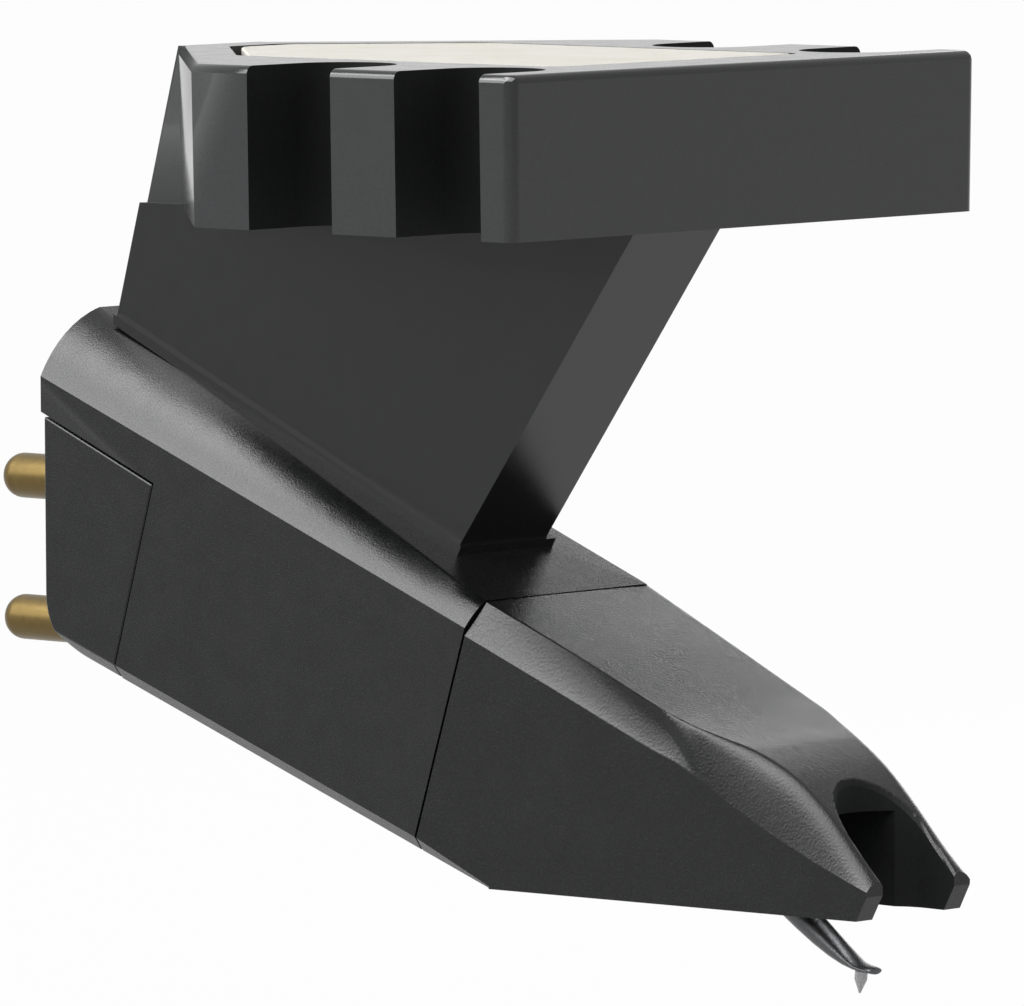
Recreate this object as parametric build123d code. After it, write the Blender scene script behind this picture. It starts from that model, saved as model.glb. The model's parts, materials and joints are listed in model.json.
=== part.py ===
from build123d import *
import os
from math import cos, radians, sin, tan

# Phono cartridge on a half-inch mounting bracket, with a pull-off stylus unit, in millimetres.
# The origin is the middle of the mounting face, between the two rear screw slots.
# +X runs to the stylus end, +Z is up out of the mounting face, and XZ is the plane of symmetry.

# Mounting bracket: a drafted plate with two open slots on each side and a tapered tail
screw_spacing = 12.7
slot_width = 2.66
slot_pitch = 4.68
bracket_width = 16.12
bracket_front = 7.0
bracket_corner = 3.12
bracket_thickness = 3.8
bracket_draft = 0.7
bracket_edge = 0.2
front_corner = 0.28
tail_end = 10.1
tail_width = 2.8
rear_lean = 16.0

# Weight plate in the top of the bracket
recess_width = 8.6
recess_front = 4.9
recess_rim = 1.2
recess_depth = 1.5
recess_corner = 0.5
plate_gap = 0.08
plate_heel_gap = 0.4

# Pedestal: a thin slanted web on a low plinth, keyed into the bracket and the casing
pedestal_thickness = 3.0
pedestal_front = 4.88
pedestal_front_lean = 36.6
pedestal_rear = 11.35
plinth_height = 0.25
plinth_ledge = 0.15
key_thickness = 1.6
key_height = 1.2
key_margin = 2.5
key_gap = 0.05

# Body casing and the seam where the stylus unit meets it
body_width = 6.6
body_rear = 12.97
seam_x = 1.19
seam_z = -12.6
seam_lean = 18.2
seam_gap = 0.06
top_slope = 23.65
bottom_slope = 19.2
bottom_corner_x = 1.44
bottom_corner_z = -19.34
bottom_bevel = 0.35
heel_radius = 1.6
shoulder_rear_width = 2.2
shoulder_rear_drop = 1.55
shoulder_seam_width = 0.5
shoulder_seam_drop = 0.65
shoulder_rear_bulge = 0.2
shoulder_seam_bulge = 0.03

# Terminal block that closes the lower rear corner of the casing, with four round pins
block_top_z = -8.82
block_top_slope = 22.0
block_length = 3.8
block_lean = 16.7
block_inset = 0.1
pin_diameter = 1.1
pin_root_diameter = 0.7
pin_length = 2.75
pin_root_length = 2.2
pin_shoulder_gap = 0.15
pin_spacing_across = 3.4
pin_upper_z = -10.56
pin_spacing_down = 3.45

# Generator inside the casing, in line with the plug of the stylus unit
pole_spacing = 2.0
pole_diameter = 0.7
coil_diameter = 1.9
coil_bore = 0.8
coil_length = 4.6
former_thickness = 0.8
yoke_thickness = 0.6
shield_wall = 0.12
shield_gap = 0.04
lead_room = 1.4
pole_air_gap = 0.1
stack_gap = 0.05

# Stylus unit: a tapered nose with a forked end and a square plug behind it
nose_length = 12.5
nose_face_x = 12.12
nose_face_z = -18.85
nose_foot_x = 11.8
nose_foot_z = -19.43
nose_tip_width = 3.56
fork_width = 2.5
fork_depth = 2.1
channel_width = 2.0
channel_rear_x = 6.1
channel_rear_z = -16.45
channel_mouth_z = -17.2
plug_width = 3.6
plug_corner = 0.6
plug_depth = 3.0
plug_reach = 4.0
plug_gap = 0.06
stylus_pole_reach = 4.9
magnet_room_width = 2.9
magnet_room_bore = 1.4

# Roof of the nose at distances from the seam: drop of the side's edge, half width and drop of the roof's edge,
# drop of the crown, and how far the flank between the two edges bulges out
nose_roof = [
    (0.0, 0.81, 2.80, 0.02, 0.0, -0.02),
    (3.0, 1.12, 2.60, 0.28, 0.26, -0.06),
    (5.7, 1.42, 2.45, 0.56, 0.54, -0.09),
    (6.6, 1.48, 2.36, 0.65, 0.63, -0.03),
    (7.2, 1.60, 2.14, 0.67, 0.65, 0.10),
    (8.2, 1.84, 2.00, 0.74, 0.75, 0.14),
    (9.3, 2.06, 1.88, 0.98, 1.05, 0.14),
    (10.4, 2.22, 1.78, 1.36, 1.44, 0.12),
    (11.5, 2.34, 1.68, 1.90, 1.92, 0.06),
    (12.5, 2.42, 1.60, 2.38, 2.36, 0.01),
]

# Suspension and cantilever
pivot_reach = 5.8
cantilever_slope = 37.0
cantilever_length = 5.7
cantilever_root_diameter = 0.95
cantilever_end_diameter = 0.5
neck_diameter = 0.5
damper_diameter = 1.8
damper_bore = 0.6
damper_thickness = 0.6
damper_gap = 0.06
magnet_diameter = 0.7
magnet_length = 1.05
tie_wire_diameter = 0.14
tie_wire_length = 0.7
tip_plate_length = 0.55
tip_plate_width = 0.56
tip_plate_thickness = 0.16
tip_plate_slope = 6.0
diamond_diameter = 0.3
diamond_length = 0.52
diamond_shank = 0.2
diamond_point_radius = 0.02
diamond_setback = 0.45

half_bracket = bracket_width / 2
half_body = body_width / 2
plug_slope = seam_lean
block_rear = -body_rear + block_inset
through = 40.0


def top_z(x):
    return seam_z - tan(radians(top_slope)) * (x - seam_x)


def bottom_z(x):
    return bottom_corner_z - tan(radians(bottom_slope)) * (x - bottom_corner_x)


def leaning_meets(x0, z0, lean, line_x, line_z, slope):
    """Where a line that leans forward going up meets a line that falls going forward."""
    t_lean = tan(radians(lean))
    t_slope = tan(radians(slope))
    x = (x0 + (line_z + t_slope * line_x - z0) * t_lean) / (1 + t_slope * t_lean)
    return x, line_z - t_slope * (x - line_x)


def side_prism(points, width):
    """A side view outline in X and Z, made symmetrical about the centre plane."""
    return extrude(Plane.XZ * Polygon(*points, align=None), amount=width / 2, both=True)


def along(origin_x, origin_z, slope):
    """A plane whose normal runs forward and down by slope; its x is +Y and its y is up."""
    run = radians(slope)
    return Plane(origin=(origin_x, 0, origin_z), x_dir=(0, 1, 0), z_dir=(cos(run), 0, -sin(run)))


def both_sides(solid):
    return [solid, mirror(solid, Plane.XZ)]


def grid(spacing):
    half = spacing / 2
    return [(half, half), (-half, half), (-half, -half), (half, -half)]


seam_foot = leaning_meets(seam_x, seam_z, seam_lean, bottom_corner_x, bottom_corner_z, bottom_slope)
plug_x = (seam_x + seam_foot[0]) / 2
plug_z = (seam_z + seam_foot[1]) / 2
plug = along(plug_x, plug_z, plug_slope)
seam_length = (seam_z - seam_foot[1]) / cos(radians(seam_lean))
stack_half = (pole_spacing + coil_diameter) / 2 + stack_gap
shield_half = stack_half + shield_wall
cavity_half = shield_half + shield_gap


def bracket_outline():
    corners = Polygon(
        (bracket_front, half_bracket),
        (-bracket_corner, half_bracket),
        (-tail_end, tail_width / 2),
        (-tail_end, -tail_width / 2),
        (-bracket_corner, -half_bracket),
        (bracket_front, -half_bracket),
        align=None,
    )
    return corners


def recess_outline(inset):
    """The bracket's outline drawn in by its rim, cut to the width of the weight plate."""
    width = recess_width - 2 * inset
    front = recess_front - inset
    band = Pos(front - through / 2, 0) * Rectangle(through, width)
    return offset(bracket_outline(), amount=-recess_rim) & band


def screw_slot(x, side):
    """An open slot with a round inner end on the screw centre, running out through the edge."""
    reach = half_bracket
    run = Pos(0, side * reach / 2) * Rectangle(slot_width, reach)
    outline = Pos(x, side * screw_spacing / 2) * (Circle(slot_width / 2) + run)
    return extrude(outline, amount=through / 2, both=True)


def pedestal_key(gap):
    """The key on top of the pedestal that plugs into the underside of the bracket."""
    rear = -pedestal_rear + key_margin - gap
    front = pedestal_front - key_margin + gap
    low = -bracket_thickness - gap
    high = -bracket_thickness + key_height + gap
    points = [(rear, low), (front, low), (front, high), (rear, high)]
    return side_prism(points, key_thickness + 2 * gap)


def mounting_bracket():
    solid = extrude(bracket_outline(), amount=-bracket_thickness)
    sides = [face for face in solid.faces() if abs(face.normal_at().Z) < 0.5]
    solid = draft(sides, Plane.XY, -bracket_draft)
    front = solid.faces().sort_by(Axis.X)[-1]
    solid = fillet(front.edges().sort_by(Axis.Y)[::3], front_corner)
    rim = solid.faces().sort_by(Axis.Z)[-1].outer_wire().edges().sort_by(Axis.X)
    solid = fillet(rim[1:], bracket_edge)
    tail_foot = -tail_end - bracket_thickness * tan(radians(rear_lean))
    tail = [(-bracket_corner, 0), (-tail_end, 0), (tail_foot, -bracket_thickness),
            (-bracket_corner, -bracket_thickness)]
    solid += side_prism(tail, tail_width)
    for x in (0, slot_pitch):
        for side in (1, -1):
            solid -= screw_slot(x, side)
    recess = recess_outline(0)
    recess = fillet(recess.vertices(), recess_corner)
    solid -= extrude(recess, amount=-recess_depth)
    return solid - pedestal_key(key_gap)


def weight_plate():
    outline = recess_outline(plate_gap)
    outline = outline & Pos(plate_heel_gap, 0) * recess_outline(0)
    outline = fillet(outline.vertices(), recess_corner)
    return extrude(outline, amount=-recess_depth)


def casing_key(gap):
    """The key under the pedestal that passes through the casing's roof to the shield can."""
    run = radians(plug_slope)
    front = seam_x - plug_depth * cos(run) - key_margin
    rear = -body_rear + block_length + key_margin
    roof = [plug_z + (cavity_half / cos(run)) - tan(run) * (x - plug_x) for x in (rear, front)]
    lift = plinth_height / 2
    points = [(rear - gap, top_z(rear) + lift), (front + gap, top_z(front) + lift),
              (front + gap, roof[1] - gap), (rear - gap, roof[0] - gap)]
    return side_prism(points, key_thickness + 2 * gap)


def pedestal():
    top = -bracket_thickness
    base = (seam_x, seam_z + plinth_height, top_slope)
    front_foot = leaning_meets(pedestal_front, top, pedestal_front_lean, *base)
    rear_foot = leaning_meets(-pedestal_rear, top, rear_lean, *base)
    web = [(pedestal_front, top), front_foot, rear_foot, (-pedestal_rear, top)]
    front_ledge = front_foot[0] + plinth_ledge
    rear_ledge = rear_foot[0]
    plinth = [(front_ledge, top_z(front_ledge) + plinth_height), (front_ledge, top_z(front_ledge)),
              (rear_ledge, top_z(rear_ledge)), (rear_ledge, top_z(rear_ledge) + plinth_height)]
    solid = side_prism(web, pedestal_thickness)
    solid += side_prism(plinth, pedestal_thickness + 2 * plinth_ledge)
    solid += pedestal_key(0)
    return solid + casing_key(0)


def shoulder_section(x, width, drop, bulge):
    """The corner outside a slightly rounded shoulder, on a plane square to the top face."""
    room = 2 * shoulder_rear_drop
    top = (half_body - width, 0)
    low = (half_body, -drop)
    middle = (half_body - width / 2 + bulge, -drop / 2 + bulge)
    outside = Polyline(low, (half_body + room, -drop), (half_body + room, room),
                       (half_body - width, room), top)
    corner = make_face(ThreePointArc(top, middle, low) + outside)
    return along(x, top_z(x), top_slope) * corner


def shoulder_cut(start, end):
    return both_sides(loft([shoulder_section(*start), shoulder_section(*end)], ruled=True))


def body_outline(rear):
    """Side view of the casing and the terminal block together, with a rounded heel."""
    heel = (rear, bottom_z(rear))
    outline = Polygon((rear, top_z(rear)), heel, seam_foot, (seam_x, seam_z), align=None)
    return fillet(outline.vertices().sort_by_distance((*heel, 0))[0], heel_radius)


def bevel_cut(outline_point, end_point, half_width):
    """Takes the lower edges off, along a straight run of the underside."""
    run_x = end_point[0] - outline_point[0]
    run_z = end_point[1] - outline_point[1]
    length = (run_x ** 2 + run_z ** 2) ** 0.5
    plane = Plane(origin=(outline_point[0], 0, outline_point[1]), x_dir=(0, 1, 0),
                  z_dir=(run_x / length, 0, run_z / length))
    corner = Polygon((half_width - bottom_bevel, 0), (half_width - bottom_bevel, -bottom_bevel),
                     (half_width + bottom_bevel, -bottom_bevel), (half_width + bottom_bevel, bottom_bevel),
                     (half_width, bottom_bevel), align=None)
    return both_sides(extrude(plane * corner, amount=length))


def body_solid(rear):
    """Casing and terminal block in one, before they are parted."""
    solid = extrude(Plane.XZ * body_outline(rear), amount=half_body, both=True)
    back = (-body_rear - shoulder_rear_drop, shoulder_rear_width, shoulder_rear_drop, shoulder_rear_bulge)
    front = (seam_x + 2 * seam_gap, shoulder_seam_width, shoulder_seam_drop, shoulder_seam_bulge)
    solid -= shoulder_cut(back, front)
    foot = (seam_foot[0] + bottom_bevel, bottom_z(seam_foot[0] + bottom_bevel))
    return solid - bevel_cut((rear, bottom_z(rear)), foot, half_body)


def block_region(gap):
    """Side view of the space that the terminal block takes, drawn in by a gap at its seams."""
    rear = -body_rear
    corner_x = rear + block_length - gap
    top_gap = gap / cos(radians(block_top_slope))
    corner_z = block_top_z - top_gap - tan(radians(block_top_slope)) * (corner_x - rear)
    drop = corner_z + through
    foot_x = corner_x - drop * tan(radians(block_lean))
    return side_prism([(rear - through, block_top_z - top_gap), (rear, block_top_z - top_gap),
                       (corner_x, corner_z), (foot_x, -through), (rear - through, -through)], through)


def casing_cavity():
    return square_plate(2 * cavity_half, yoke_rear - lead_room, -plug_depth - stack_gap)


def plug_block(start, end, gap):
    """The square plug's body between two distances in front of the seam."""
    width = plug_width + 2 * gap
    return extrude(plug.offset(start) * RectangleRounded(width, width, plug_corner + gap), amount=end - start)


def body_casing():
    solid = body_solid(-body_rear) - block_region(0) - casing_cavity()
    solid -= plug_block(-2 * plug_depth, plug_depth, plug_gap)
    return solid - casing_key(key_gap)


def pin_places():
    """Centres of the four pins, named by the side and the row that they are in."""
    half = pin_spacing_across / 2
    for side, y in (("left", half), ("right", -half)):
        for row, z in (("upper", pin_upper_z), ("lower", pin_upper_z - pin_spacing_down)):
            yield f"terminal_pin_{side}_{row}", y, z


def rear_rod(diameter, x_from, x_to, y, z):
    rod = Plane(origin=(x_from, y, z), x_dir=(0, 1, 0), z_dir=(1, 0, 0)) * Circle(diameter / 2)
    return extrude(rod, amount=x_to - x_from)


def terminal_pin(y, z):
    """A turned pin with a domed end and a thinner root, whose shoulder stands just off the block."""
    radius = pin_diameter / 2
    thin = pin_root_diameter / 2
    tip = block_rear - pin_length
    shoulder = block_rear - pin_shoulder_gap
    end = block_rear + pin_root_length
    slant = radians(45)
    dome = ThreePointArc((tip, 0), (tip + radius * (1 - cos(slant)), radius * sin(slant)), (tip + radius, radius))
    rest = Polyline((tip + radius, radius), (shoulder, radius), (shoulder, thin), (end, thin), (end, 0), (tip, 0))
    return Pos(0, y, z) * revolve(make_face(dome + rest), axis=Axis.X)


def terminal_block():
    solid = body_solid(block_rear) & block_region(seam_gap)
    for _, y, z in pin_places():
        solid -= rear_rod(pin_root_diameter, block_rear - pin_length, block_rear + pin_root_length, y, z)
    return solid


def axis_rod(plane, diameter, start, end, place=(0, 0)):
    """A round rod along a plane's normal, between two distances from the plane."""
    return extrude(plane.offset(start) * Pos(*place) * Circle(diameter / 2), amount=end - start)


def square_plate(width, start, end):
    return extrude(plug.offset(start) * Rectangle(width, width), amount=end - start)


former_front = -plug_depth - pole_air_gap - stack_gap
former_rear = former_front - former_thickness
coil_rear = former_rear - coil_length
yoke_rear = coil_rear - yoke_thickness


def shield_can():
    outside = square_plate(2 * shield_half, yoke_rear, former_front)
    return outside - square_plate(2 * stack_half, yoke_rear - stack_gap, former_front + stack_gap)


def pole_plate(start, end):
    solid = square_plate(2 * stack_half, start, end)
    for place in grid(pole_spacing):
        solid -= axis_rod(plug, pole_diameter, start - stack_gap, end + stack_gap, place)
    return solid


def coil(place):
    solid = axis_rod(plug, coil_diameter, coil_rear + stack_gap, former_rear - stack_gap, place)
    return solid - axis_rod(plug, coil_bore, coil_rear, former_rear, place)


def holder_side():
    """Side view of the stylus nose below its roof, set off from the seam by the gap there."""
    start = seam_x + seam_gap / cos(radians(seam_lean))
    foot = leaning_meets(start, seam_z, seam_lean, bottom_corner_x, bottom_corner_z, bottom_slope)
    rise = tan(radians(seam_lean)) * body_width
    points = [(start + rise, seam_z + body_width), foot, (bottom_corner_x, bottom_corner_z),
              (nose_foot_x, nose_foot_z), (nose_face_x, nose_face_z), (nose_face_x, seam_z + body_width)]
    return side_prism(points, 2 * body_width)


def nose_section(reach, side_drop, edge_half, edge_drop, crown_drop, bulge):
    """The nose cut across: straight sides, flanks and a slightly crowned roof."""
    half = half_body + (nose_tip_width / 2 - half_body) * reach / nose_length
    top = seam_length / 2
    side = top - side_drop
    edge = top - edge_drop
    share = bulge / ((half - edge_half) ** 2 + (edge - side) ** 2) ** 0.5
    middle = ((half + edge_half) / 2 + share * (edge - side), (edge + side) / 2 + share * (half - edge_half))
    walls = Polyline((half, side), (half, -through), (-half, -through), (-half, side))
    roof = ThreePointArc((edge_half, edge), (0, top - crown_drop), (-edge_half, edge))
    right = ThreePointArc((half, side), middle, (edge_half, edge))
    left = ThreePointArc((-half, side), (-middle[0], middle[1]), (-edge_half, edge))
    return plug.offset(reach) * make_face(walls + roof + right + left)


def nose_block():
    return loft([nose_section(*row) for row in nose_roof], ruled=True)


def fork_cut():
    centre = nose_face_x - fork_depth + fork_width / 2
    run = Pos(fork_depth / 2, 0) * Rectangle(fork_depth, fork_width)
    outline = Pos(centre, 0) * (Circle(fork_width / 2) + run)
    return extrude(outline, amount=through, both=True)


pivot = plug.offset(pivot_reach).origin
swing = along(pivot.X, pivot.Z, cantilever_slope)
damper_face = damper_thickness / 2
neck_end = damper_face + damper_gap


def suspension_room():
    """Everything hollow round the armature, the damper and the cantilever."""
    room = square_plate(magnet_room_width, 0, pivot_reach - damper_thickness)
    bore = axis_rod(swing, damper_diameter + 2 * damper_gap, -neck_end, channel_width)
    back = axis_rod(swing, magnet_room_bore, -2 * damper_thickness, 0)
    low = nose_foot_z - bottom_bevel
    channel = [(channel_rear_x, channel_rear_z), (channel_rear_x, low), (nose_face_x, low),
               (nose_face_x, channel_mouth_z), (nose_face_x - fork_depth, channel_mouth_z)]
    return [room, bore, back, side_prism(channel, channel_width)]


def stylus_holder():
    solid = nose_block() & holder_side()
    solid -= bevel_cut(seam_foot, (bottom_corner_x, bottom_corner_z), half_body)
    solid -= fork_cut()
    solid -= plug_block(-plug_depth, plug_reach, 0)
    return solid - suspension_room()


def tie_wire():
    start = -neck_end - magnet_length - damper_gap
    return axis_rod(swing, tie_wire_diameter, start - tie_wire_length, start)


def stylus_plug():
    solid = plug_block(-plug_depth, plug_reach, 0)
    for place in grid(pole_spacing):
        solid -= axis_rod(plug, pole_diameter, -plug_depth, plug_reach, place)
    return solid - tie_wire()


def damper():
    solid = axis_rod(swing, damper_diameter, -damper_face, damper_face)
    return solid - axis_rod(swing, damper_bore, -damper_face, damper_face)


def tip_plane():
    """A plane along the underside of the flattened end, with its normal pointing down out of it."""
    end = swing.offset(cantilever_length).origin
    run = radians(tip_plate_slope)
    return Plane(origin=(end.X, 0, end.Z), x_dir=(cos(run), 0, -sin(run)), z_dir=(-sin(run), 0, -cos(run)))


def cantilever():
    neck = axis_rod(swing, neck_diameter, -neck_end, neck_end)
    root = swing.offset(neck_end) * Circle(cantilever_root_diameter / 2)
    end = swing.offset(cantilever_length) * Circle(cantilever_end_diameter / 2)
    plate = Pos(tip_plate_length / 2, 0) * Rectangle(tip_plate_length, tip_plate_width)
    lead = Circle(tip_plate_width / 2)
    return neck + loft([root, end]) + extrude(tip_plane() * (plate + lead), amount=-tip_plate_thickness)


def stylus_tip():
    place = tip_plane() * Pos(tip_plate_length - diamond_setback, 0)
    shank = place * Pos(0, 0, diamond_shank / 2) * Cylinder(diamond_diameter / 2, diamond_shank)
    point = diamond_length - diamond_shank
    cone = Cone(diamond_diameter / 2, diamond_point_radius, point)
    return shank + place * Pos(0, 0, diamond_shank + point / 2) * cone


os.makedirs("parts", exist_ok=True)
parts = {
    "mounting_bracket": mounting_bracket(),
    "weight_plate": weight_plate(),
    "pedestal": pedestal(),
    "body_casing": body_casing(),
    "terminal_block": terminal_block(),
    "shield_can": shield_can(),
    "coil_former": pole_plate(former_rear, former_front),
    "pole_yoke": pole_plate(yoke_rear, coil_rear),
    "stylus_holder": stylus_holder(),
    "stylus_plug": stylus_plug(),
    "tie_wire": tie_wire(),
    "damper": damper(),
    "armature_magnet": axis_rod(swing, magnet_diameter, -neck_end - magnet_length, -neck_end),
    "cantilever": cantilever(),
    "stylus_tip": stylus_tip(),
}
for name, y, z in pin_places():
    parts[name] = terminal_pin(y, z)
corners = ("left_upper", "right_upper", "right_lower", "left_lower")
for corner, place in zip(corners, grid(pole_spacing)):
    parts[f"coil_{corner}"] = coil(place)
    parts[f"pole_pin_{corner}"] = axis_rod(plug, pole_diameter, yoke_rear, -plug_depth - pole_air_gap, place)
    parts[f"stylus_pole_{corner}"] = axis_rod(plug, pole_diameter, -plug_depth, stylus_pole_reach, place)
for name, solid in parts.items():
    export_step(solid, f"parts/{name}.step")
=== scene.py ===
import json
import math

import bmesh
import bpy
from mathutils import Matrix, Quaternion, Vector


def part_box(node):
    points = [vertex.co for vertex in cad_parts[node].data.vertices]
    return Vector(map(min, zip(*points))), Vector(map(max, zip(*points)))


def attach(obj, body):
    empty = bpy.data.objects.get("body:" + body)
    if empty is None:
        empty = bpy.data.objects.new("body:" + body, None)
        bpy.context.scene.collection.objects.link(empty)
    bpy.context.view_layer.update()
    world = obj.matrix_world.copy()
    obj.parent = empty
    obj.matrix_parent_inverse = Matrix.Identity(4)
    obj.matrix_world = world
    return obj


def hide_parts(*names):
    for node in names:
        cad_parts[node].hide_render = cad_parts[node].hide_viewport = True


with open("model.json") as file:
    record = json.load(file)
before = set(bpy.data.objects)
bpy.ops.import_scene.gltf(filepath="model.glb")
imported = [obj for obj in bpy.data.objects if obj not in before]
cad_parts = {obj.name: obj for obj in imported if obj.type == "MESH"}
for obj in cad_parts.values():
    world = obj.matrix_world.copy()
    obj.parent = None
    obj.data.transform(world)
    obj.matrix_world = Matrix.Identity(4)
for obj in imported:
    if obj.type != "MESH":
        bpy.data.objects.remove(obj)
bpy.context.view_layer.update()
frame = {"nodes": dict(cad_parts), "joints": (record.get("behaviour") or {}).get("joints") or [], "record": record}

MM = 0.001
NODES = frame["nodes"]
BODIES = frame["record"]["behaviour"]["bodies"]
BODY_OF = {node: body for body, nodes in BODIES.items() for node in nodes}
SLOT_OF = {row["node"]: row["material_slot"] for row in frame["record"]["subparts"]}
JOINTS = {joint["name"]: joint for joint in frame["joints"]}


class Field:
    """A shader value that takes part in sums: each operation adds one Math node."""

    def __init__(self, shop, socket):
        self.shop = shop
        self.socket = socket

    def sum(self, operation, first, second):
        return self.shop.node("ShaderNodeMath", {"operation": operation}, {0: first, 1: second})

    def __add__(self, other):
        return self.sum("ADD", self, other)

    def __radd__(self, other):
        return self.sum("ADD", other, self)

    def __sub__(self, other):
        return self.sum("SUBTRACT", self, other)

    def __mul__(self, other):
        return self.sum("MULTIPLY", self, other)

    def __rmul__(self, other):
        return self.sum("MULTIPLY", other, self)

    def at_most(self, other):
        return self.sum("MINIMUM", self, other)


class Shop:
    """A node tree, cleared, and the calls that add nodes to it."""

    def __init__(self, tree):
        self.tree = tree
        self.tree.nodes.clear()

    def node(self, kind, settings=None, sockets=None, output=0):
        made = self.tree.nodes.new(kind)
        for key, value in (settings or {}).items():
            setattr(made, key, value)
        for key, value in (sockets or {}).items():
            if isinstance(value, Field):
                self.tree.links.new(value.socket, made.inputs[key])
            else:
                made.inputs[key].default_value = value
        return Field(self, made.outputs[output])

    def close(self, kind, shader):
        out = self.tree.nodes.new(kind)
        self.tree.links.new(shader.socket, out.inputs["Surface"])

    def seen_rays(self):
        """1 for a ray from the camera or one that a glossy or clear surface sends on, else 0."""
        rays = [self.node("ShaderNodeLightPath", output=f"Is {kind} Ray")
                for kind in ("Camera", "Glossy", "Transmission")]
        return (rays[0] + rays[1] + rays[2]).at_most(1.0)


class Finish(Shop):
    """One material."""

    def __init__(self, name):
        self.material = bpy.data.materials.new(name)
        self.material.use_nodes = True
        super().__init__(self.material.node_tree)

    def place(self, turn=(0, 0, 0), stretch=(1, 1, 1)):
        where = self.node("ShaderNodeTexCoord", output="Object")
        return self.node("ShaderNodeMapping", None,
                         {"Vector": where, "Rotation": turn, "Scale": stretch})

    def noise(self, size, detail=2.0, roughness=0.5, stretch=(1, 1, 1)):
        """Noise whose grains are about size millimetres across."""
        return self.node("ShaderNodeTexNoise", None, {"Vector": self.place(stretch=stretch),
                                                      "Scale": 1 / (size * MM),
                                                      "Detail": detail, "Roughness": roughness})

    def spread(self, value, low, high):
        """Stretches a value from low..high to 0..1 and clips it there."""
        return self.node("ShaderNodeMapRange", {"clamp": True},
                         {"Value": value, "From Min": low, "From Max": high})

    def blend(self, share, first, second):
        return self.node("ShaderNodeMix", {"data_type": "RGBA"}, {0: share, 6: first, 7: second}, 2)

    def relief(self, height, depth):
        return self.node("ShaderNodeBump", None, {"Height": height, "Distance": depth * MM})

    def surface(self, **sockets):
        named = {key.replace("_", " "): value for key, value in sockets.items()}
        self.close("ShaderNodeOutputMaterial", self.node("ShaderNodeBsdfPrincipled", None, named))
        return self.material


def shade(level, tint=(0.94, 1.0, 1.03)):
    return tuple(level * part for part in tint) + (1,)


def grained_plastic(name, dark, pale, grain, depth, rough, level):
    """Black moulded plastic with a spark-eroded grain: small pits, and a slow drift in gloss."""
    finish = Finish(name)
    fine = finish.noise(grain, 3.0, 0.65)
    drift = finish.noise(grain * 14, 2.0)
    grains = finish.spread(fine, 0.32, 0.68)
    tone = finish.blend(grains * 0.7 + drift * 0.3, shade(dark), shade(pale))
    return finish.surface(Base_Color=tone, Roughness=rough + 0.1 * drift - 0.07 * grains,
                          Specular_IOR_Level=level, Normal=finish.relief(fine, depth))


def worked_metal(name, colour, rough, grain=0.15, depth=0.003, stretch=(1, 1, 1)):
    """Bare metal with fine working marks."""
    finish = Finish(name)
    marks = finish.noise(grain, 3.0, 0.6, stretch)
    worn = tuple(0.86 * part for part in colour)
    tint = finish.blend(finish.spread(marks, 0.3, 0.7), worn + (1,), colour + (1,))
    return finish.surface(Base_Color=tint, Metallic=1.0, Roughness=rough + 0.1 * marks,
                          Normal=finish.relief(marks, depth))


def painted_plate():
    """Cream paint on the weight plate, a little uneven."""
    finish = Finish("cream_paint")
    fine = finish.noise(0.12, 3.0, 0.6)
    stain = finish.noise(2.4, 3.0, 0.6)
    tone = finish.blend(finish.spread(stain, 0.4, 0.75), (0.95, 0.92, 0.83, 1), (0.88, 0.83, 0.71, 1))
    return finish.surface(Base_Color=tone, Roughness=0.38 + 0.15 * fine,
                          Normal=finish.relief(fine, 0.004))


def wound_wire():
    """Enamelled copper wire: turns side by side across the coil's axis, with painted shade in the grooves between
    turns.
    """
    finish = Finish("wound_copper")
    lean = math.atan2(-AXIS.z, AXIS.x)
    turns = finish.node("ShaderNodeTexWave", {"bands_direction": "X", "wave_profile": "SIN"},
                        {"Vector": finish.place((0, -lean, 0)), "Scale": 1 / (0.1 * MM) / 20,
                         "Distortion": 0.4, "Detail": 1.0})
    # The colour darkens with the bump's valleys: painted shade between the turns.
    tone = finish.blend(turns, (0.3, 0.1, 0.04, 1), (0.72, 0.33, 0.15, 1))
    return finish.surface(Base_Color=tone, Metallic=0.9, Roughness=0.28 + 0.1 * turns,
                          Normal=finish.relief(turns, 0.02))


def cut_stone():
    """Diamond, a little hazy."""
    finish = Finish("stone")
    haze = finish.noise(0.05, 2.0)
    tone = finish.blend(haze, (0.1, 0.1, 0.11, 1), (0.32, 0.32, 0.33, 1))
    return finish.surface(Base_Color=tone, Roughness=0.12 + 0.1 * haze, IOR=2.42)


# The cantilever's pivot, the way the stylus unit pulls off, the way up across it, and the middle of the
# seam between body and nose with half its height, in millimetres.
PIVOT = Vector(JOINTS["cantilever_lift"]["pos_m"])
AXIS = Vector(JOINTS["stylus_pull"]["axis"]).normalized()
RISE = Vector((-AXIS.z, 0, AXIS.x))
PIVOT_REACH = 5.8
SEAM_MIDDLE = PIVOT - AXIS * PIVOT_REACH * MM
SEAM_HALF = 3.142

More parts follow.
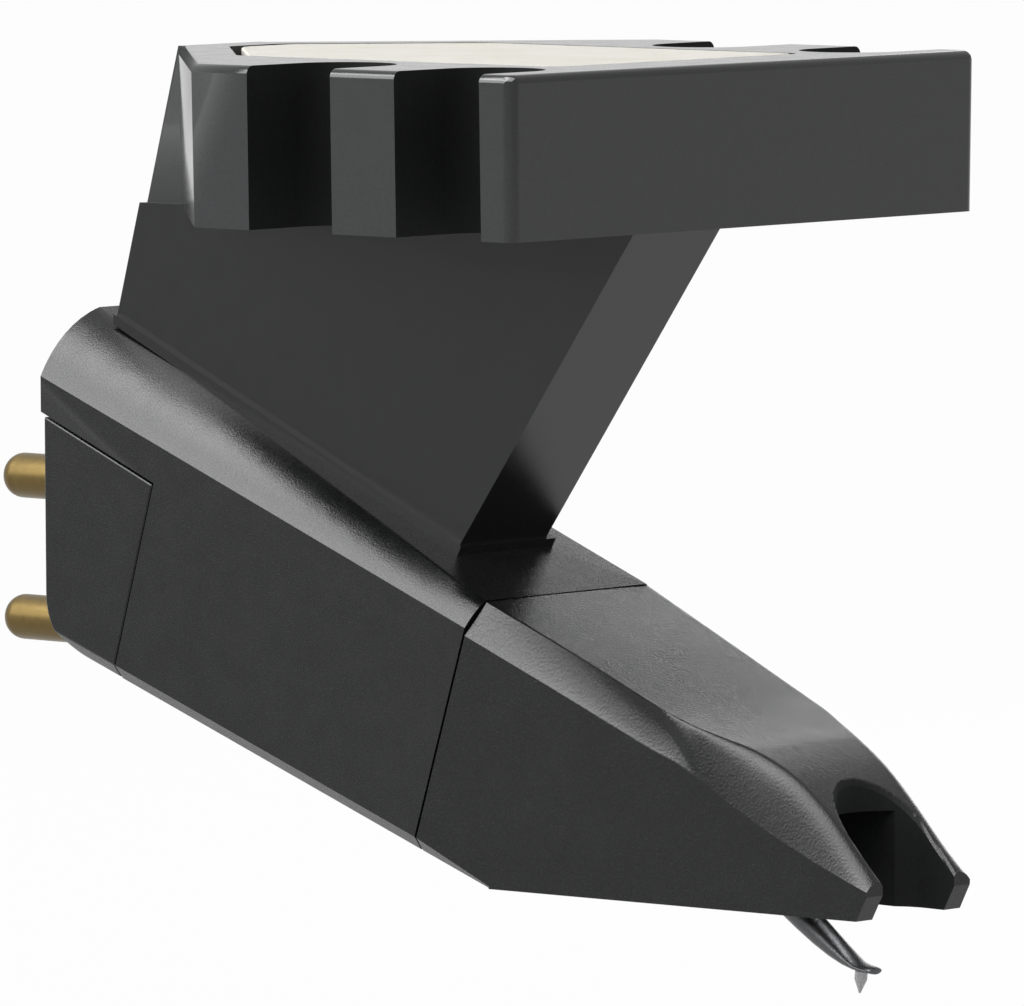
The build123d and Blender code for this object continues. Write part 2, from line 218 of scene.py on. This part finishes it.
FINISHES = {
    "housing_black": grained_plastic("body_black", 0.003, 0.011, 0.05, 0.007, 0.25, 0.28),
    "stylus_black": grained_plastic("nose_black", 0.003, 0.012, 0.06, 0.012, 0.22, 0.28),
    "weight_metal": painted_plate(),
    "gold_plate": worked_metal("gold", (0.14, 0.098, 0.036), 0.32, 0.2, 0.001),
    "shield_metal": worked_metal("shield_sheet", (0.6, 0.6, 0.62), 0.3, 0.1, 0.002, (1, 1, 6)),
    "pole_steel": worked_metal("pole_iron", (0.36, 0.36, 0.37), 0.36, 0.1),
    "coil_copper": wound_wire(),
    "former_plastic": grained_plastic("former_plastic", 0.02, 0.04, 0.1, 0.006, 0.4, 0.4),
    "damper_rubber": grained_plastic("damper_rubber", 0.006, 0.012, 0.05, 0.006, 0.7, 0.2),
    "magnet_grey": worked_metal("magnet", (0.32, 0.32, 0.33), 0.4, 0.05, 0.004),
    "cantilever_alloy": worked_metal("drawn_alloy", (0.1, 0.101, 0.105), 0.34, 0.1, 0.008),
    "diamond": cut_stone(),
}
bracket_black = grained_plastic("bracket_black", 0.018, 0.03, 0.05, 0.001, 0.11, 0.44)
pedestal_black = grained_plastic("pedestal_black", 0.003, 0.01, 0.036, 0.003, 0.2, 0.34)
# Darker, duller plastic for the slot walls and the fork's inner walls: painted shade for the deep shadow there.
painted_shade_black = grained_plastic("painted_shade_black", 0.008, 0.014, 0.08, 0.006, 0.6, 0.1)

for node_name, node in NODES.items():
    node.data.materials.clear()
    node.data.materials.append(FINISHES[SLOT_OF[node_name]])


# Vertices closer than this are one, in millimetres.
JOIN = 0.0005


def finished(bm, name, node, finishes, crisp, modifiers=()):
    """Makes a piece of a bmesh: it rides where its node does and stands for it. Edges are sharp above
    crisp degrees or, where crisp is None, as the bmesh marks them."""
    mesh = bpy.data.meshes.new(name)
    bm.to_mesh(mesh)
    bm.free()
    for finish in finishes:
        mesh.materials.append(finish)
    if crisp is not None:
        mesh.shade_smooth()
        mesh.set_sharp_from_angle(angle=math.radians(crisp))
    piece = bpy.data.objects.new(name, mesh)
    bpy.context.scene.collection.objects.link(piece)
    for kind, settings in modifiers:
        added = piece.modifiers.new(kind.lower(), kind)
        for key, value in settings.items():
            setattr(added, key, value)
    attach(piece, BODY_OF[node])
    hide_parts(node)


def merged_copy(node, whole=True):
    """The node's own mesh, joined up and, if whole, with each flat face in one."""
    bm = bmesh.new()
    bm.from_mesh(NODES[node].data)
    bmesh.ops.remove_doubles(bm, verts=bm.verts, dist=JOIN * MM)
    if whole:
        bmesh.ops.dissolve_limit(bm, angle_limit=math.radians(0.3), use_dissolve_boundaries=False,
                                 verts=bm.verts, edges=bm.edges)
    return bm


# An edge that turns by more than this is hard, in degrees.
HARD = 28.0


def rounding(width):
    """Modifiers that round the hard edges and keep flat faces flat."""
    return (("BEVEL", {"width": width * MM, "segments": 2, "limit_method": "ANGLE",
                       "angle_limit": math.radians(HARD), "profile": 0.5,
                       "use_clamp_overlap": False, "harden_normals": True, "loop_slide": True}),)


# Normals that follow the larger face, so that flat walls stay flat beside round ones.
LEVEL = (("WEIGHTED_NORMAL", {"keep_sharp": True, "weight": 100, "mode": "FACE_AREA"}),)


# Foot of the pedestal, in millimetres: the height it starts below, how far its lower front edge is drawn
# back, how high that edge reaches, and how closely a vertex counts as level with the widest.
FOOT_TOP = -9.0
FOOT_UNDERCUT = 0.14
FOOT_EDGE = 0.1
LEVEL_WITH = 0.02


def pedestal_moulding():
    """The web and its foot, undercut at the front so that the foot stands clear of the casing there."""
    bm = merged_copy("pedestal")
    wide = [vert for vert in bm.verts if vert.co.z < FOOT_TOP * MM]
    ledge = max(abs(vert.co.y) for vert in wide) - LEVEL_WITH * MM
    wide = [vert for vert in wide if abs(vert.co.y) > ledge]
    front = max(vert.co.x for vert in wide) - LEVEL_WITH * MM
    front_foot = [vert for vert in wide if vert.co.x > front]
    low = min(vert.co.z for vert in front_foot) + FOOT_EDGE * MM
    for vert in front_foot:
        if vert.co.z < low:
            vert.co.x -= FOOT_UNDERCUT * MM
    finished(bm, "pedestal_moulding", "pedestal", [pedestal_black], HARD)


# The block's hidden front face swells inside this lip until it all but meets the casing, so that no light
# shows through the seam.
BLOCK_LIP = 0.4
BLOCK_SWELL = 0.058


def terminal_block_moulding():
    bm = merged_copy("terminal_block")
    bm.normal_update()
    front = [face for face in bm.faces if face.normal.dot(AXIS) > 0.98]
    bmesh.ops.inset_region(bm, faces=front, thickness=BLOCK_LIP * MM, depth=BLOCK_SWELL * MM,
                           use_boundary=True, use_even_offset=True)
    finished(bm, "terminal_block_moulding", "terminal_block", [FINISHES["housing_black"]], HARD,
             rounding(0.05))


# Screw slots, in millimetres: how far the second pair lies in front of the first, half a slot's width with
# room to spare, how far from the middle a slot stays, and where the bracket's outer sides begin.
# Faces within these bounds take the painted-shade finish.
SLOT_SPACING = 4.68
SLOT_HALF = 1.5
SLOT_END = 4.6
OUTER_SIDE = 7.8


def slotted_bracket():
    """The bracket, with the walls of its slots painted darker and duller: painted shade for the deep shadow inside
    the slots.
    """
    bm = merged_copy("mounting_bracket")
    for face in bm.faces:
        places = [vert.co / MM for vert in face.verts]
        across = max(min(abs(place.x), abs(place.x - SLOT_SPACING)) for place in places)
        inside = min(abs(place.y) for place in places) > SLOT_END
        outer = abs(face.normal.y) > 0.8 and abs(face.calc_center_median().y / MM) > OUTER_SIDE
        # Slot walls take the second finish, which is painted shade.
        if across < SLOT_HALF and inside and not outer and abs(face.normal.z) < 0.4:
            face.material_index = 1
    finished(bm, "slotted_bracket", "mounting_bracket", [bracket_black, painted_shade_black], HARD, LEVEL)


def body_pieces():
    """The body's mouldings and the plate in its bracket."""
    pedestal_moulding()
    terminal_block_moulding()
    finished(merged_copy("body_casing", False), "body_casing_moulding", "body_casing",
             [FINISHES["housing_black"]], 20, LEVEL)
    finished(merged_copy("weight_plate"), "painted_weight_plate", "weight_plate",
             [FINISHES["weight_metal"]], HARD, rounding(0.06))
    slotted_bracket()


# Pins: how far they run into the block, in millimetres, and the rounding of their ends, in radii.
PIN_ROOT = 0.05
PIN_END = 0.86


def gold_pins():
    """Turned pins with round ends, down to the face of the block."""
    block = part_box("terminal_block")[0].x
    for node in sorted(NODES):
        if not node.startswith("terminal_pin"):
            continue
        low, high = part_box(node)
        radius = (high.z - low.z) / 2
        length = block + PIN_ROOT * MM - low.x
        middle = (low.x + length / 2, (low.y + high.y) / 2, (low.z + high.z) / 2)
        bm = bmesh.new()
        bmesh.ops.create_cone(bm, cap_ends=True, segments=40, radius1=radius, radius2=radius,
                              depth=length)
        end = [edge for edge in bm.edges if all(vert.co.z > 0 for vert in edge.verts)]
        bmesh.ops.bevel(bm, geom=end, offset=radius * PIN_END, offset_type="OFFSET", segments=9,
                        profile=0.5, affect="EDGES", clamp_overlap=False, material=-1)
        bmesh.ops.rotate(bm, verts=bm.verts, cent=(0, 0, 0),
                         matrix=Matrix.Rotation(-math.pi / 2, 3, "Y"))
        bmesh.ops.translate(bm, verts=bm.verts, vec=middle)
        finished(bm, node.replace("terminal_pin", "gold_pin"), node, [FINISHES["gold_plate"]], 40)


# Roof of the nose at distances from the seam, in millimetres: drop of the side's edge, half width and
# drop of the roof's edge, drop of the crown, and how far the flute between the two edges is hollowed.
FLUTED_ROOF = (
    (0.0, 0.81, 2.80, 0.02, 0.0, 0.02),
    (3.0, 1.12, 2.60, 0.26, 0.24, 0.06),
    (5.7, 1.42, 2.47, 0.51, 0.50, 0.09),
    (6.6, 1.48, 2.43, 0.57, 0.56, 0.09),
    (7.5, 1.66, 2.34, 0.65, 0.62, 0.05),
)
# The same in front of the flutes, where the roof's edge is rounded off over the last figure.
ROUND_ROOF = (
    (4.8, 1.32, 2.52, 0.43, 0.42, 0.03),
    (5.7, 1.42, 2.48, 0.51, 0.50, 0.06),
    (6.6, 1.48, 2.42, 0.55, 0.56, 0.14),
    (7.2, 1.60, 2.33, 0.57, 0.58, 0.26),
    (8.2, 1.84, 2.13, 0.60, 0.62, 0.42),
    (9.3, 2.06, 1.95, 0.81, 0.83, 0.45),
    (10.4, 2.22, 1.80, 1.26, 1.27, 0.4),
    (11.5, 2.34, 1.69, 1.84, 1.85, 0.32),
    (12.5, 2.42, 1.61, 2.36, 2.37, 0.2),
)
# Where the flutes start to give way to the round roof, how much later that is at the side's edge, over what
# length it happens, and between which distances the rounding grows to its full width.
FLUTE_END = 5.5
FLUTE_LAG = 1.3
FLUTE_FADE = 0.5
ROUND_FROM = 5.2
ROUND_FULL = 7.5
# A distance at which both tables give the side's edge one drop, the length of the nose, half its width at
# the seam and at the front, the round end of the fork and its rolled lip, and the eased edge at the seam.
SAME_SIDE = 6.6
NOSE_LENGTH = 12.5
NOSE_HALF_REAR = 3.3
NOSE_HALF_FRONT = 1.78
FORK_MIDDLE = 11.27
FORK_HALF = 1.25
FORK_LIP = 0.1
SEAM_EDGE = 0.04
# The skin reaches this far past the side's edges, in shares of the roof, falls away a little there, and is
# this deep. The node's roof is raised by the last figure, past where the skin cuts it.
SKIN_OVER = 1.15
SKIN_FALL = 0.015
SKIN_DEPTH = 9.0
ROOF_LIFT = 0.9


def ease(low, high, value):
    """0 below low and 1 above high, with a smooth rise between."""
    share = min(max((value - low) / (high - low), 0.0), 1.0)
    return share * share * (3 - 2 * share)


def row_at(rows, reach):
    """A table's figures at a distance from the seam, on a smooth curve through its rows."""
    last = len(rows) - 1
    reach = min(max(reach, rows[0][0]), rows[last][0])
    k = max(i for i in range(last) if rows[i][0] <= reach)
    step = rows[k + 1][0] - rows[k][0]
    share = (reach - rows[k][0]) / step

    def slope(i, j):
        before, after = rows[max(i - 1, 0)], rows[min(i + 1, last)]
        return (after[j] - before[j]) / (after[0] - before[0])

    values = []
    for j in range(1, 6):
        a, b = rows[k][j], rows[k + 1][j]
        ma, mb = slope(k, j) * step, slope(k + 1, j) * step
        s2, s3 = share * share, share ** 3
        values.append((2 * s3 - 3 * s2 + 1) * a + (s3 - 2 * s2 + share) * ma
                      + (3 * s2 - 2 * s3) * b + (s3 - s2) * mb)
    return values


def section_point(row, half, along, hollow, leg, outer):
    """A point of one section: along is 0 at the crown, 0.5 at the roof's edge, 1 at the side's edge."""
    side, edge_half, edge, crown, _ = row
    edge_half = min(edge_half, half - 0.03)
    run = math.hypot(half - edge_half, side - edge)

    def straight(at):
        if at <= 0.5:
            share = at / 0.5
            return Vector((edge_half * share, crown + (edge - crown) * share * share))
        share = (at - 0.5) / 0.5
        inward = 4 * share * (1 - share) * hollow if share <= 1 else 0.0
        return Vector((edge_half + (half - edge_half) * share - inward * (side - edge) / run,
                       edge + (side - edge) * share + inward * (half - edge_half) / run))

    inner = 0.5 - 0.5 * leg / edge_half
    if leg == 0 or not inner < along < outer:
        return straight(along)
    share = (along - inner) / (outer - inner)
    return (straight(inner) * (1 - share) ** 2 + straight(0.5) * 2 * share * (1 - share)
            + straight(outer) * share ** 2)


def roof_point(reach, along):
    """How far out from the middle and down from the seam's top a point of the roof lies."""
    half = NOSE_HALF_REAR + (NOSE_HALF_FRONT - NOSE_HALF_REAR) * reach / NOSE_LENGTH
    begin = FLUTE_END + FLUTE_LAG * min(max((along - 0.5) / 0.5, 0.0), 1.0)
    fluted, rounded = row_at(FLUTED_ROOF, reach), row_at(ROUND_ROOF, reach)
    outer = 0.55 + 0.4 * ease(ROUND_FROM, ROUND_FULL, reach)
    with_flute = section_point(fluted, half, along, fluted[4], 0.0, 1.0)
    without = section_point(rounded, half, along, 0.0, rounded[4], outer)
    return with_flute.lerp(without, ease(begin, begin + FLUTE_FADE, reach))


def lip_dip(x, y):
    """How far the roof rolls down into the fork's mouth."""
    outside = (math.hypot(x - FORK_MIDDLE, y) if x < FORK_MIDDLE else abs(y)) - FORK_HALF
    short = min(max(FORK_LIP - outside, 0.0), 1.4 * FORK_LIP)
    return short * short / FORK_LIP


def roof_skin():
    """A solid whose top is the nose's roof, wider and deeper than the nose."""
    bm = bmesh.new()
    reaches = [-0.3, -0.05] + [0.02 * i for i in range(10)]
    reaches += [0.2 + 0.12 * i for i in range(68)]
    reaches += [8.36 + 0.04 * i for i in range(117)]
    last = len(reaches) - 1
    bmesh.ops.create_grid(bm, x_segments=last, y_segments=132, size=1.0)
    for vert in bm.verts:
        reach = reaches[round((vert.co.x + 1) / 2 * last)]
        along = abs(vert.co.y) * SKIN_OVER
        out, drop = roof_point(min(max(reach, 0.0), NOSE_LENGTH), along)
        out = math.copysign(out, vert.co.y)
        drop += SKIN_FALL * ease(0.8, 1.0, along)
        short = min(max(SEAM_EDGE - reach, 0.0), SEAM_EDGE)
        drop += SEAM_EDGE - math.sqrt(SEAM_EDGE ** 2 - short ** 2)
        place = SEAM_MIDDLE / MM + AXIS * reach + Vector((0, out, 0)) + RISE * (SEAM_HALF - drop)
        place.z -= lip_dip(place.x, place.y)
        vert.co = place * MM
    deep = bmesh.ops.extrude_face_region(bm, geom=bm.faces[:])
    lower = [part for part in deep["geom"] if isinstance(part, bmesh.types.BMVert)]
    bmesh.ops.translate(bm, verts=lower, vec=RISE * -SKIN_DEPTH * MM)
    bmesh.ops.recalc_face_normals(bm, faces=bm.faces)
    return bm


def tall_nose():
    """The node's own mesh with its roof raised clear of the skin."""
    bm = merged_copy("stylus_holder", False)
    roof = []
    for face in bm.faces:
        place = (face.calc_center_median() - SEAM_MIDDLE) / MM
        reach = place.dot(AXIS)
        side = row_at(FLUTED_ROOF if reach < SAME_SIDE else ROUND_ROOF, reach)[0]
        above = SEAM_HALF - place.dot(RISE) < side + LEVEL_WITH
        facing = face.normal.dot(RISE) > -0.4 and face.normal.dot(AXIS) > -0.5
        spans = [math.hypot(vert.co.x / MM - FORK_MIDDLE, vert.co.y / MM) for vert in face.verts]
        fork_wall = all(abs(span - FORK_HALF) < LEVEL_WITH for span in spans)
        if above and facing and not fork_wall and abs(face.normal.z) > 0.001:
            roof.append(face)
    raised = bmesh.ops.extrude_face_region(bm, geom=roof)
    tops = [part for part in raised["geom"] if isinstance(part, bmesh.types.BMVert)]
    bmesh.ops.translate(bm, verts=tops, vec=(0, 0, ROOF_LIFT * MM))
    bmesh.ops.delete(bm, geom=roof, context="FACES")
    return bm


def stylus_nose():
    """The nose: the node's own mesh under a roof that rounds over smoothly in front of the flutes."""
    pieces = []
    for name, bm in (("tall_nose", tall_nose()), ("roof_skin", roof_skin())):
        mesh = bpy.data.meshes.new(name)
        bm.to_mesh(mesh)
        bm.free()
        pieces.append(bpy.data.objects.new(name, mesh))
        bpy.context.scene.collection.objects.link(pieces[-1])
    cut = pieces[0].modifiers.new("roof", "BOOLEAN")
    cut.operation = "INTERSECT"
    cut.solver = "EXACT"
    cut.object = pieces[1]
    cut_nose = pieces[0].evaluated_get(bpy.context.evaluated_depsgraph_get())
    shaped = bpy.data.meshes.new_from_object(cut_nose)
    for piece in pieces:
        bpy.data.objects.remove(piece)
    bm = bmesh.new()
    bm.from_mesh(shaped)
    bmesh.ops.remove_doubles(bm, verts=bm.verts, dist=JOIN * MM)
    bm.normal_update()
    for face in bm.faces:
        # The fork's inner walls take the second finish: painted shade for the shadow inside the fork.
        centre = face.calc_center_median() / MM
        inside = abs(centre.y) < FORK_HALF + 0.01 and centre.x > 6
        if inside and face.normal.z < 0.6:
            face.material_index = 1
    for edge in bm.edges:
        flat = [abs(face.normal.y) > 0.985 and abs(face.normal.z) < 0.003 for face in edge.link_faces]
        edge.smooth = edge.calc_face_angle(0.0) < math.radians(28) and len(set(flat)) == 1
    finished(bm, "grained_stylus_nose", "stylus_holder", [FINISHES["stylus_black"], painted_shade_black], None)


# The cantilever's tube and flat tongue: slopes in degrees, and the tube's length past the pivot.
TUBE_SLOPE = 37.0
TONGUE_SLOPE = 6.0
TUBE_LENGTH = 5.7
# Rings of the tube: distance from the pivot, lift, lean in degrees, half width and half height.
TUBE_RINGS = (
    (-0.36, 0.0, 37, 0.25, 0.25),
    (0.35, 0.0, 37, 0.25, 0.25),
    (0.37, 0.0, 37, 0.43, 0.43),
    (0.44, -0.01, 39, 0.475, 0.475),
    (1.2, -0.05, 40, 0.45, 0.45),
    (2.1, -0.085, 39, 0.405, 0.405),
    (3.0, -0.1, 37, 0.365, 0.365),
    (3.8, -0.09, 35, 0.33, 0.33),
    (4.4, -0.06, 32, 0.31, 0.3),
    (4.9, -0.02, 27, 0.3, 0.25),
    (5.3, 0.03, 20, 0.29, 0.19),
)
# Rings of the tongue: distance from the tube's end, lean in degrees, half width and half height.
TONGUE_RINGS = (
    (0.0, 11, 0.285, 0.11),
    (0.2, 6, 0.28, 0.085),
    (0.4, 6, 0.275, 0.08),
    (0.49, 6, 0.25, 0.075),
    (0.53, 6, 0.21, 0.065),
    (0.55, 6, 0.15, 0.05),
)


def bent_cantilever():
    """A drawn tube that bends a little on its way out and is pressed flat where it holds the stone."""
    slope, flat = math.radians(TUBE_SLOPE), math.radians(TONGUE_SLOPE)
    run = Vector((math.cos(slope), 0, -math.sin(slope)))
    over = Vector((math.sin(slope), 0, math.cos(slope)))
    tongue = Vector((math.cos(flat), 0, -math.sin(flat)))
    tongue_over = Vector((math.sin(flat), 0, math.cos(flat)))
    end = PIVOT / MM + run * TUBE_LENGTH
    rings = [(PIVOT / MM + run * at + over * lift, math.radians(lean), wide, high)
             for at, lift, lean, wide, high in TUBE_RINGS]
    rings += [(end + tongue * at + tongue_over * high, math.radians(lean), wide, high)
              for at, lean, wide, high in TONGUE_RINGS]
    bm = bmesh.new()
    ring = bmesh.ops.create_circle(bm, segments=32, radius=1.0)["verts"]
    plan = [vert.co.copy() for vert in ring]
    edges = bm.edges[:]
    for number, (middle, lean, wide, high) in enumerate(rings):
        if number:
            grown = bmesh.ops.extrude_edge_only(bm, edges=edges)["geom"]
            edges = [part for part in grown if isinstance(part, bmesh.types.BMEdge)]
            edges = [edge for edge in edges if all(len(vert.link_faces) == 2 for vert in edge.verts)]
            fresh = {vert for edge in edges for vert in edge.verts}
            ring = [next(vert for vert in fresh if (vert.co - old.co).length < 1e-9) for old in ring]
        up = Vector((math.sin(lean), 0, math.cos(lean)))
        for vert, spot in zip(ring, plan):
            vert.co = (middle + Vector((0, spot.x * wide, 0)) + up * spot.y * high) * MM
    bmesh.ops.holes_fill(bm, edges=bm.edges, sides=0)
    bmesh.ops.recalc_face_normals(bm, faces=bm.faces)
    finished(bm, "bent_cantilever", "cantilever", [FINISHES["cantilever_alloy"]], 40)


body_pieces()
gold_pins()
bent_cantilever()
stylus_nose()


# Half the floor's side, its height and the camera's distance, in metres.
FLOOR_HALF = 6.0
FLOOR_HEIGHT = -0.05
CAMERA_DISTANCE = 0.28
# Softboxes that show only in gloss.
GLOSS_ONLY = ("gloss_softbox", "top_softbox")


def studio():
    """Floor, soft light from above and the left, and the camera."""
    aim = Vector((-0.28, -0.29, -10.56)) * MM
    bm = bmesh.new()
    bmesh.ops.create_grid(bm, x_segments=1, y_segments=1, size=FLOOR_HALF)
    bmesh.ops.translate(bm, verts=bm.verts, vec=(0, 0, FLOOR_HEIGHT))
    mesh = bpy.data.meshes.new("floor")
    bm.to_mesh(mesh)
    bm.free()
    floor = bpy.data.objects.new("floor", mesh)
    bpy.context.scene.collection.objects.link(floor)
    paper = Finish("paper")
    matt = paper.node("ShaderNodeBsdfDiffuse", None, {"Color": shade(0.85, (1, 1, 1))})
    white = paper.node("ShaderNodeEmission", None, {"Color": (1, 1, 1, 1), "Strength": 1.0})
    mixed = paper.node("ShaderNodeMixShader", None,
                       {0: paper.seen_rays() * 0.97, 1: matt, 2: white})
    paper.close("ShaderNodeOutputMaterial", mixed)
    mesh.materials.append(paper.material)

    world = bpy.data.worlds.new("studio")
    world.use_nodes = True
    bpy.context.scene.world = world
    sky = Shop(world.node_tree)
    sky.close("ShaderNodeOutputWorld",
              sky.node("ShaderNodeBackground", None, {"Strength": 0.42 + 0.58 * sky.seen_rays()}))

    for name, way, distance, size, radiance in (
        ("key_softbox", (-0.48, -0.76, 0.46), 0.32, 0.22, 6.0),
        ("back_softbox", (-0.41, 0.88, 0.2), 0.35, 0.14, 2.5),
        ("gloss_softbox", (-0.3, -0.45, 0.84), 0.35, 0.3, 7.2),
        ("top_softbox", (0.2, -0.35, 0.9), 0.35, 0.4, 7.0),
    ):
        lamp = bpy.data.lights.new(name, "AREA")
        lamp.shape = "SQUARE"
        lamp.size = size
        lamp.energy = radiance * math.pi * size * size
        obj = bpy.data.objects.new(name, lamp)
        way = Vector(way).normalized()
        obj.location = aim + way * distance
        obj.rotation_euler = way.to_track_quat("Z", "Y").to_euler()
        obj.visible_diffuse = name not in GLOSS_ONLY
        bpy.context.scene.collection.objects.link(obj)

    lens = bpy.data.cameras.new("camera")
    lens.sensor_width = 36.0
    lens.lens = 418.0
    lens.clip_start = 0.01
    camera = bpy.data.objects.new("camera", lens)
    azimuth = math.radians(43.0)
    rise = math.radians(4.7)
    level = Vector((math.sin(azimuth), -math.cos(azimuth), 0)) * math.cos(rise)
    way = level + Vector((0, 0, math.sin(rise)))
    camera.location = aim + way * CAMERA_DISTANCE
    roll = Quaternion((0, 0, 1), math.radians(-0.32))
    camera.rotation_euler = (way.to_track_quat("Z", "Y") @ roll).to_euler()
    bpy.context.scene.collection.objects.link(camera)
    bpy.context.scene.camera = camera


studio()
bpy.context.scene.view_settings.view_transform = "Standard"
